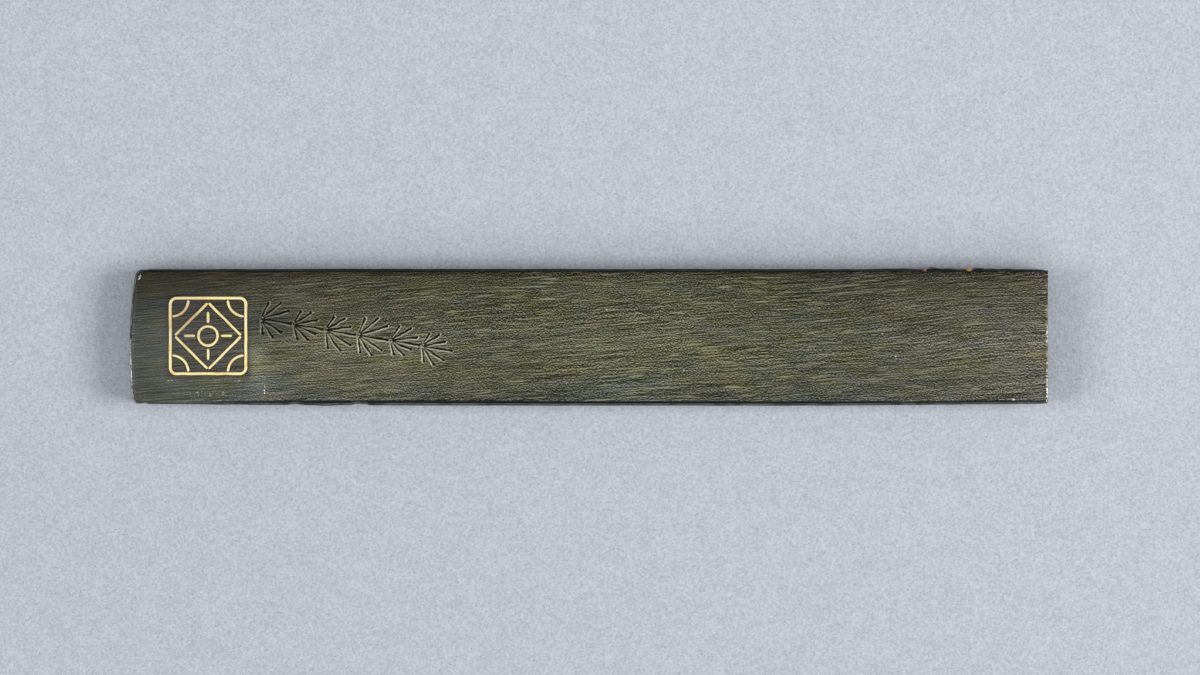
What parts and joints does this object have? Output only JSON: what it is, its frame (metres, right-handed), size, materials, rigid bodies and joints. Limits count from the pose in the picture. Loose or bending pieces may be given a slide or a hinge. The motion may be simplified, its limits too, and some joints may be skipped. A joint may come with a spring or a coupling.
{
  "type": "knife handle",
  "caption": "Flat hollow metal handle with a bowed butt and a slotted mouth for a knife's tang, gold strips let into its back plate and low reliefs on its front.",
  "frame": {"origin": "centre of the plane that the front rim rests on", "axes": "+X along the handle, out of the mouth; +Y across it; +Z out of the back plate"},
  "size_m": [0.097, 0.0146, 0.0052],
  "materials": {
    "plate": "dark olive patina over a filed copper alloy",
    "case": "dark grey patina, satin",
    "gold": "burnished gold",
    "copper": "brown copper, satin",
    "solder": "dull silver solder"
  },
  "bodies": {
    "root": {"back_plate": "plate", "front_plate": "case", "upper_side_strip": "case", "lower_side_strip": "case", "butt_cap": "case", "mouth_collar": "case", "back_seam_solder": "solder", "front_seam_solder": "solder", "seal_frame": "gold", "seal_ring": "gold", "seal_bar_1": "gold", "seal_bar_2": "gold", "seal_bar_3": "gold", "seal_bar_4": "gold", "seal_corner_1": "gold", "seal_corner_2": "gold", "seal_corner_3": "gold", "seal_corner_4": "gold", "seal_tick_1": "gold", "seal_tick_2": "gold", "seal_tick_3": "gold", "seal_tick_4": "gold", "relief_branch": "case", "copper_leaf_1": "copper", "copper_leaf_2": "copper", "copper_leaf_3": "copper", "copper_leaf_4": "copper", "copper_leaf_5": "copper", "gilt_bud_1": "gold", "gilt_bud_2": "gold", "edge_bud_1": "gold", "edge_bud_2": "gold"}
  },
  "joints": []
}
